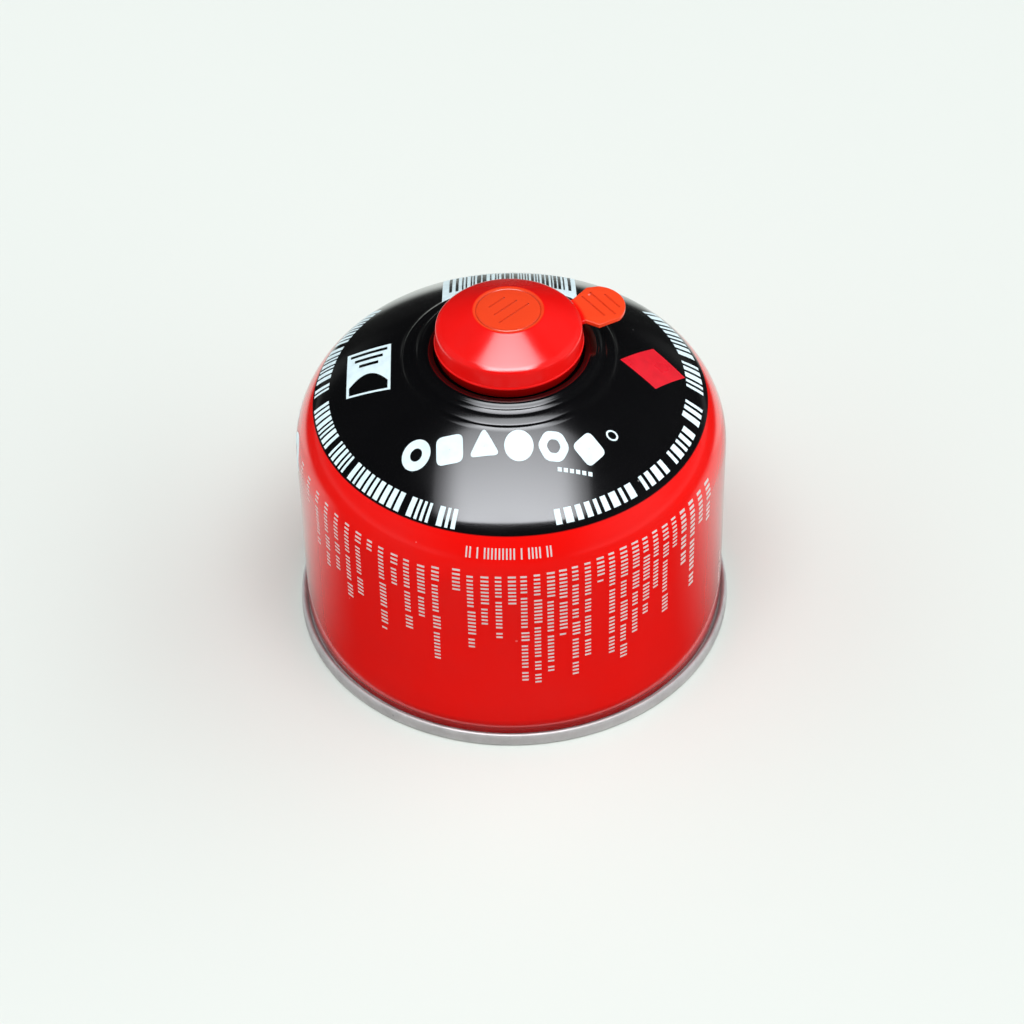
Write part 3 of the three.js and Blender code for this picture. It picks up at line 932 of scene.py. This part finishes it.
class CANISTER_OT_add_foot(Operator):
    """Turn the rolled foot seam and the dished base end"""
    bl_idname = "canister.add_foot"
    bl_label = "Add foot seam"

    def execute(self, context):
        outer = FOOT_HIGH.x / MM
        wall = can_sizes().wall_radius / MM - 0.3
        chuck = outer - 3.4
        panel = chuck - 1.0
        under = [(panel * i / 12, 5.7 + 6.3 * (1 - (i / 12) ** 2)) for i in range(13)]
        over = [(r, z + 0.5) for r, z in reversed(under)]
        corners = rounded([
            (panel, 5.7), (chuck, 4.6), (chuck + 0.5, 1.2), (outer - 2.1, 0.0), (outer - 0.4, 0.0),
            (outer, 0.45), (outer, 2.55), (outer - 0.20, 3.30), (outer - 0.62, SEAM_TOP),
            (outer - 1.05, 3.40), (wall + 0.52, 2.75), (wall + 0.3, 2.1), (chuck + 1.0, 2.1),
            (chuck + 0.5, 5.2), (panel, 6.2),
        ], 0.45, 5)
        outline = [*under, *corners[1:-1], *over]
        foot = turned_piece("foot_seam", outline, context.scene.stage_settings.facets)
        dress(foot, tinplate_material())
        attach(foot, "can")
        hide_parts("base_end")
        return {"FINISHED"}


# Valve cup with its thread

# The screw's pitch and radii in millimetres: 28 turns to the inch
THREAD_PITCH = 25.4 / 28
THREAD_STEPS = 48
THREAD_ROOT = 5.05
THREAD_CREST = 5.55


def thread_ridge(bm, low, high):
    """Winds the thread's pointed ridge up the boss, between two heights."""
    half = THREAD_PITCH * 0.42
    foot = THREAD_ROOT - 0.1
    steps = int((high - low - 2 * half) / THREAD_PITCH * THREAD_STEPS)
    rings = []
    for i in range(steps + 1):
        angle = 2 * math.pi * i / THREAD_STEPS
        z = low + half + THREAD_PITCH * i / THREAD_STEPS
        run_out = min(1, i / 12, (steps - i) / 12)
        peak = THREAD_ROOT + (THREAD_CREST - THREAD_ROOT) * max(run_out, 0.05)
        rings.append([
            bm.verts.new((r * MM * math.cos(angle), r * MM * math.sin(angle), (z + dz) * MM))
            for r, dz in ((foot, -half), (peak, -0.1), (peak, 0.1), (foot, half))])
    tube(bm, rings)


class CANISTER_OT_add_valve(Operator):
    """Turn the valve cup and wind the thread on its boss"""
    bl_idname = "canister.add_valve"
    bl_label = "Add valve cup"

    def execute(self, context):
        top = CUP_HIGH.z / MM
        cup_top = top - BOSS_RISE
        floor = cup_top - 6.5
        neck = floor + 3.9
        outer = CUP_HIGH.x / MM
        channel = outer - 4.1
        outline = rounded([
            (outer, cup_top - 4.0), (outer, cup_top), (channel, cup_top), (channel, floor),
            (THREAD_CREST, floor), (THREAD_CREST, neck - 0.4), (THREAD_ROOT, neck),
            (THREAD_ROOT, top - 0.4), (THREAD_ROOT - 0.4, top), (2.1, top), (2.1, top - 0.8),
            (THREAD_ROOT - 0.5, top - 0.8), (THREAD_ROOT - 0.5, floor - 0.5),
            (channel + 0.5, floor - 0.5), (channel + 0.5, cup_top - 0.5), (outer - 0.5, cup_top - 0.5),
            (outer - 0.5, cup_top - 4.0),
        ], 0.9, 6, closed=True)
        metal = tinplate_material()
        cup = turned_piece("valve_cup_pressing", outline, 160, closed=True)
        dress(cup, metal)
        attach(cup, "can")
        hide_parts("valve_cup")
        bm = bmesh.new()
        thread_ridge(bm, neck, top - 0.35)
        thread = make_piece("valve_thread", bm, math.radians(25))
        dress(thread, metal)
        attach(thread, "can")
        return {"FINISHED"}


# Cap with its pull tab

def cap_outline():
    """Section of the cap, from the middle of its disc down the side and up inside to the roof."""
    s = bpy.context.scene.cap_sizes
    radius, disc, cone = s.radius / MM, s.disc_radius / MM, s.cone_radius / MM
    top, foot = CAP_HIGH.z / MM, CAP_LOW.z / MM
    drop = s.cone_drop / MM
    inner = radius - s.wall / MM
    ridge = foot + 3.2
    roof = top - 1.2
    ledge = CUP_HIGH.z / MM - BOSS_RISE + 0.3
    slope = drop / (cone - disc)
    corners = [
        (disc, top), (cone, top - drop), (radius - 0.15, top - drop - 0.75), (radius + 0.02, foot + 7.0),
        (radius + 0.22, ridge + 0.25), (radius + 0.40, ridge + 0.05), (radius + 0.40, ridge - 0.35),
        (radius + 0.17, ridge - 0.6), (radius - 0.25, foot), (inner, foot), (inner, ledge),
        (inner - 1.0, ledge), (inner - 1.0, roof - slope * (inner - 1.0 - disc + 0.4)),
        (disc - 0.4, roof),
    ]
    depths = ((7.42, 0), (7.56, 0.04), (7.68, 0.20), (7.80, 0.27), (7.92, 0.20), (8.04, 0.04), (8.18, 0))
    groove = [(r, top - depth) for r, depth in depths]
    return [(0, top), (4.0, top), *groove, *rounded([groove[-1], *corners, (0, roof)], 0.38, 5)[1:]]


def tab_points():
    """Outline of the pull tab along +X, before it is turned to its direction."""
    radius = bpy.context.scene.cap_sizes.radius / MM
    side, reach, half_end, half, neck = radius + 8.5, radius + 12.15, 6.45, 7.1, 4.3
    sagitta = reach - side
    end_radius = (half_end ** 2 + sagitta ** 2) / (2 * sagitta)
    centre = reach - end_radius
    turn = math.atan2(half_end, side - centre)
    end = [(centre + end_radius * math.cos(a), end_radius * math.sin(a))
           for a in (-turn + 2 * turn * i / 16 for i in range(17))]
    return [
        (radius - 0.6, -neck), (radius + 0.6, -neck), (radius + 2.9, -half), *end,
        (radius + 5.5, half), (radius + 0.6, neck), (radius - 0.6, neck),
    ]


def capsule(length, radius, centre, angle):
    """A lying round-ended cutter for an engraved line."""
    bm = bmesh.new()
    steps, sides = 5, 16
    tilts = [math.pi / 2 * (1 - i / steps) for i in range(1, steps + 1)]
    stations = [(-length / 2 - radius * math.sin(a), radius * math.cos(a)) for a in tilts]
    stations += [(-x, r) for x, r in reversed(stations)]
    start = bm.verts.new((-length / 2 - radius, 0, 0))
    end = bm.verts.new((length / 2 + radius, 0, 0))
    rings = [[bm.verts.new((x, r * math.cos(2 * math.pi * k / sides), r * math.sin(2 * math.pi * k / sides)))
              for k in range(sides)] for x, r in stations]
    bridge(bm, rings)
    for k in range(sides):
        j = (k + 1) % sides
        bm.faces.new((start, rings[0][j], rings[0][k]))
        bm.faces.new((end, rings[-1][k], rings[-1][j]))
    bmesh.ops.recalc_face_normals(bm, faces=bm.faces)
    turn = Matrix.Translation(Vector(centre)) @ Matrix.Rotation(angle, 4, "Z")
    bm.transform(Matrix.Scale(MM, 4) @ turn)
    return make_piece("cutter", bm, None)


def apply_boolean(piece, other, operation):
    """Joins another object to a piece or cuts it out, and removes that object."""
    modifier = piece.modifiers.new("join", "BOOLEAN")
    modifier.operation = operation
    modifier.solver = "EXACT"
    modifier.object = other
    graph = bpy.context.evaluated_depsgraph_get()
    mesh = bpy.data.meshes.new_from_object(piece.evaluated_get(graph))
    piece.modifiers.clear()
    old = piece.data
    piece.data = mesh
    bpy.data.meshes.remove(old)
    bpy.data.objects.remove(other)


def tab_plate(thickness, top):
    """The pull tab as a plate with softened edges, its top at a height."""
    bm = bmesh.new()
    low = [bm.verts.new((x * MM, y * MM, (top - thickness) * MM)) for x, y in tab_points()]
    face = bm.faces.new(low)
    up = bmesh.ops.extrude_face_region(bm, geom=[face])
    for element in up["geom"]:
        if isinstance(element, bmesh.types.BMVert):
            element.co.z = top * MM
    bmesh.ops.recalc_face_normals(bm, faces=bm.faces)
    rim = [e for e in bm.edges if abs(e.verts[0].co.z - e.verts[1].co.z) < 1e-7]
    bmesh.ops.bevel(bm, geom=rim, offset=0.22 * MM, segments=3, profile=0.5, affect="EDGES")
    bm.transform(Matrix.Rotation(bpy.context.scene.cap_sizes.tab_angle, 4, "Z"))
    return make_piece("tab", bm, None)


class CANISTER_OT_add_cap(Operator):
    """Mould the cap with its ridge, engraved lines and pull tab"""
    bl_idname = "canister.add_cap"
    bl_label = "Add cap"

    def execute(self, context):
        s = context.scene.cap_sizes
        top = CAP_HIGH.z / MM
        cap = turned_piece("cap_moulding", cap_outline(), 192)
        tab_top = CAP_LOW.z / MM + 6.65
        apply_boolean(cap, tab_plate(1.2, tab_top), "UNION")
        slant = math.radians(44)
        for length, offset in ((4.9, 3.9), (7.4, 1.0), (9.7, -1.9)):
            centre = (-math.sin(slant) * offset, math.cos(slant) * offset, top - 0.08)
            apply_boolean(cap, capsule(length, 0.22, centre, slant), "DIFFERENCE")
        across = s.tab_angle + math.radians(104)
        for length, along in ((8.9, 4.3), (10.0, 6.8), (5.8, 9.3)):
            reach = s.radius / MM + along
            centre = (math.cos(s.tab_angle) * reach, math.sin(s.tab_angle) * reach, tab_top - 0.08)
            apply_boolean(cap, capsule(length, 0.24, centre, across), "DIFFERENCE")
        finish_shading(cap.data)
        dress(cap, cap_material())
        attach(cap, "cap")
        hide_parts("cap")
        return {"FINISHED"}


# Small valve parts: the spring is wound here, and the others keep their solids

# Radius of the wire in millimetres, number of coils, steps a coil and sides of the wire
SPRING_WIRE = 0.3
SPRING_COILS = 7.0
SPRING_STEPS = 32
SPRING_SIDES = 12


def coil_spring(name, low, high, outer):
    """Winds a compression spring whose first and last coils lie close together."""
    wire = SPRING_WIRE
    coil = outer - wire
    close = 2 * wire * 1.05
    span = high - low - 2 * wire - 2 * close
    section = ring_outline(wire, wire, SPRING_SIDES)
    bm = bmesh.new()
    rings = []
    for i in range(int(SPRING_COILS * SPRING_STEPS) + 1):
        turned = i / SPRING_STEPS
        angle = 2 * math.pi * turned
        middle = min(max(turned - 1, 0), SPRING_COILS - 2) / (SPRING_COILS - 2)
        ends = min(turned, 1) + max(turned - SPRING_COILS + 1, 0)
        z = low + wire + close * ends + span * middle
        rings.append([
            bm.verts.new(((coil + dr) * MM * math.cos(angle), (coil + dr) * MM * math.sin(angle),
                          (z + dz) * MM)) for dr, dz in section])
    tube(bm, rings)
    return make_piece(name, bm, math.radians(50))


class CANISTER_OT_dress_small_parts(Operator):
    """Give the seals, the valve housing, the spring and the stem their finishes"""
    bl_idname = "canister.dress_small_parts"
    bl_label = "Dress small parts"

    def execute(self, context):
        rubber = small_part_material("seal_rubber", (0.02, 0.02, 0.021), 0.62, 0.80)
        dress(NODES["cup_seal"], rubber)
        dress(NODES["stem_seal"], rubber)
        housing = small_part_material("housing_plastic", (0.78, 0.76, 0.70), 0.40, 0.55)
        dress(NODES["valve_housing"], housing)
        low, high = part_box("stem_spring")
        spring = coil_spring("valve_spring", low.z / MM, high.z / MM, high.x / MM)
        dress(spring, small_part_material("spring_steel", (0.55, 0.55, 0.56), 0.22, 0.34, 1.0))
        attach(spring, "can")
        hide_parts("stem_spring")
        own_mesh(spring)
        dress(NODES["valve_stem"], small_part_material("stem_brass", (0.70, 0.52, 0.26), 0.24, 0.36, 1.0))
        return {"FINISHED"}


# Floor, light and camera

# Colour of the ground round the floor and in reflections, and colour of the floor itself
FLOOR_COLOUR = (0.885, 0.940, 0.895)
FLOOR_ALBEDO = (0.705, 0.730, 0.680)
# In metres: half the floor's side, the soft box's place, aim and size, and the camera's aim
FLOOR_HALF = 3.0
KEY_PLACE = (0.0, -1.32, 4.92)
KEY_TARGET = (0.0, -0.02, 0.06)
KEY_SIZE = (5.64, 3.00)
CAMERA_TARGET = (-0.00017, 0.0, 0.02757)


def floor_material():
    """Pale floor; glossy surfaces see it pale close by, at the sides and behind, and dim elsewhere."""
    material, tree, shader, position = new_material("pale_floor")
    tone = map_range(tree, noise(tree, position, 3.0), 0.3, 0.7)
    tree.links.new(mix_colour(tree, tone, FLOOR_ALBEDO, dim(FLOOR_ALBEDO, 0.995)),
                   shader.inputs["Base Color"])
    shader.inputs["Roughness"].default_value = 0.9
    shader.inputs["Specular IOR Level"].default_value = 0.1
    parts = axes(tree, position)
    off_axis = math_node(tree, "ABSOLUTE", parts["X"])
    reach = axis_distance(tree, parts)
    ring = fade(tree, reach, 0.0550, 0.0572, 0.30, 0.0)
    front = fade(tree, off_axis, 0.020, 0.050, 1.0, 0.70)
    back = product(tree, fade(tree, parts["Y"], 0.060, 0.085),
                   fade(tree, reach, 0.20, 0.30, 0.80, 0.0))
    aside = fade(tree, off_axis, 0.030, 0.060)
    behind = fade(tree, parts["Y"], -0.035, 0.030, 0.0, 0.60)
    near = fade(tree, reach, 0.12, 0.20, 1.0, 0.0)
    lead = math_node(tree, "SUBTRACT", off_axis, product(tree, parts["Y"], 0.75))
    flank = product(tree, fade(tree, lead, 0.0, 0.08),
                    fade(tree, reach, 0.18, 0.30, 1.0, 0.0))
    sides = product(tree, aside, behind, math_node(tree, "MAXIMUM", near, flank))
    close_or_back = math_node(tree, "MAXIMUM", product(tree, ring, front), back)
    pale = math_node(tree, "MAXIMUM", close_or_back, sides)
    mirrored = tree.nodes.new("ShaderNodeEmission")
    mirrored.inputs["Color"].default_value = (*FLOOR_COLOUR, 1)
    tree.links.new(math_node(tree, "ADD", pale, 0.02), mirrored.inputs["Strength"])
    path = tree.nodes.new("ShaderNodeLightPath").outputs
    mixed = mix_shader(tree, path["Is Glossy Ray"], shader.outputs[0], mirrored.outputs[0])
    tree.links.new(mixed, tree.nodes["Material Output"].inputs["Surface"])
    return material


def key_light(power):
    """One large soft box above, dimmer towards its edges and towards one of its long sides."""
    data = bpy.data.lights.new("key_box", "AREA")
    data.shape = "RECTANGLE"
    data.size, data.size_y = KEY_SIZE
    data.energy = power
    data.color = (0.965, 0.985, 1.03)
    data.use_nodes = True
    tree = data.node_tree
    parts = axes(tree, tree.nodes.new("ShaderNodeNewGeometry").outputs["Parametric"])
    edges = []
    for axis, width in (("X", 0.22), ("Y", 0.03)):
        edge = math_node(tree, "MINIMUM", parts[axis], math_node(tree, "SUBTRACT", 1.0, parts[axis]))
        edges.append(fade(tree, edge, 0.0, width, 0.2, 1.0))
    slope = map_range(tree, parts["Y"], 0.0, 1.0, 1.5, 0.5)
    tree.links.new(product(tree, *edges, slope), tree.nodes["Emission"].inputs["Strength"])
    lamp = link(data, "key_box")
    lamp.location = KEY_PLACE
    lamp.rotation_euler = (Vector(KEY_TARGET) - Vector(KEY_PLACE)).to_track_quat("-Z", "Y").to_euler()


def make_world():
    """Studio that the camera sees as pale ground, that lights from the sides and mirrors dimly."""
    world = bpy.data.worlds.new("studio")
    world.use_nodes = True
    tree = world.node_tree
    tree.nodes.clear()

    def background(tone, strength):
        node = tree.nodes.new("ShaderNodeBackground")
        node.inputs["Color"].default_value = (*tone, 1)
        feed(tree, node.inputs["Strength"], strength)
        return node.outputs[0]

    path = tree.nodes.new("ShaderNodeLightPath").outputs
    parts = axes(tree, tree.nodes.new("ShaderNodeTexCoord").outputs["Generated"])
    off_axis = math_node(tree, "ABSOLUTE", parts["X"])
    low = fade(tree, parts["Z"], 0.0, 0.16, 0.14, 0.0)
    aside = fade(tree, off_axis, 0.35, 0.65)
    mirrored = background((0.90, 0.94, 0.92), math_node(tree, "ADD", product(tree, low, aside), 0.012))
    both_sides = fade(tree, off_axis, 0.4, 0.8, 0.22, 1.40)
    right_side = fade(tree, parts["X"], 0.4, 0.8, 0.0, 0.90)
    lit = background((0.95, 0.98, 1.0), math_node(tree, "ADD", both_sides, right_side))
    unseen = mix_shader(tree, path["Is Glossy Ray"], lit, mirrored)
    whole = mix_shader(tree, path["Is Camera Ray"], unseen, background(FLOOR_COLOUR, 1.0))
    tree.links.new(whole, tree.nodes.new("ShaderNodeOutputWorld").inputs["Surface"])
    bpy.context.scene.world = world


class CANISTER_OT_add_stage(Operator):
    """Set the pale floor, the soft box, the studio and the camera"""
    bl_idname = "canister.add_stage"
    bl_label = "Add stage"

    def execute(self, context):
        s = context.scene.stage_settings
        mesh = bpy.data.meshes.new("floor")
        corners = [(x * FLOOR_HALF, y * FLOOR_HALF, 0) for x, y in ((-1, -1), (1, -1), (1, 1), (-1, 1))]
        mesh.from_pydata(corners, [], [(0, 1, 2, 3)])
        floor = link(mesh, "floor")
        dress(floor, floor_material())
        make_world()
        key_light(s.key_power)
        data = bpy.data.cameras.new("camera")
        data.lens = s.lens
        data.sensor_width = 36.0
        camera = link(data, "camera")
        back = Vector((0, -math.cos(s.camera_elevation), math.sin(s.camera_elevation)))
        camera.location = Vector(CAMERA_TARGET) + back * s.camera_distance
        turn = (-back).to_track_quat("-Z", "Y")
        camera.rotation_euler = (turn @ Matrix.Rotation(s.camera_roll, 3, "Z").to_quaternion()).to_euler()
        context.scene.camera = camera
        context.scene.view_settings.view_transform = "Standard"
        return {"FINISHED"}


class CANISTER_PT_pieces(Panel):
    bl_idname = "CANISTER_PT_pieces"
    bl_label = "Gas canister"
    bl_space_type = "VIEW_3D"
    bl_region_type = "UI"
    bl_category = "Canister"

    def draw(self, context):
        layout = self.layout
        for operator in OPERATORS:
            layout.operator(operator.bl_idname)
        for name, group in GROUPS.items():
            box = layout.box()
            for key in group.__annotations__:
                box.prop(getattr(context.scene, name), key)


OPERATORS = (
    CANISTER_OT_add_stage,
    CANISTER_OT_add_body,
    CANISTER_OT_add_print,
    CANISTER_OT_add_foot,
    CANISTER_OT_add_valve,
    CANISTER_OT_add_cap,
    CANISTER_OT_dress_small_parts,
)
GROUPS = {
    "can_sizes": CanSizes,
    "cap_sizes": CapSizes,
    "finishes": Finishes,
    "stage_settings": StageSettings,
}


def register():
    for group in GROUPS.values():
        bpy.utils.register_class(group)
    for key, group in GROUPS.items():
        setattr(bpy.types.Scene, key, PointerProperty(type=group))
    for operator in OPERATORS:
        bpy.utils.register_class(operator)
    bpy.utils.register_class(CANISTER_PT_pieces)


def unregister():
    bpy.utils.unregister_class(CANISTER_PT_pieces)
    for operator in reversed(OPERATORS):
        bpy.utils.unregister_class(operator)
    for key, group in GROUPS.items():
        delattr(bpy.types.Scene, key)
        bpy.utils.unregister_class(group)


def main():
    register()
    bpy.ops.canister.add_stage()
    bpy.ops.canister.add_body()
    bpy.ops.canister.add_print()
    bpy.ops.canister.add_foot()
    bpy.ops.canister.add_valve()
    bpy.ops.canister.add_cap()
    bpy.ops.canister.dress_small_parts()


if __name__ == "__main__":
    main()
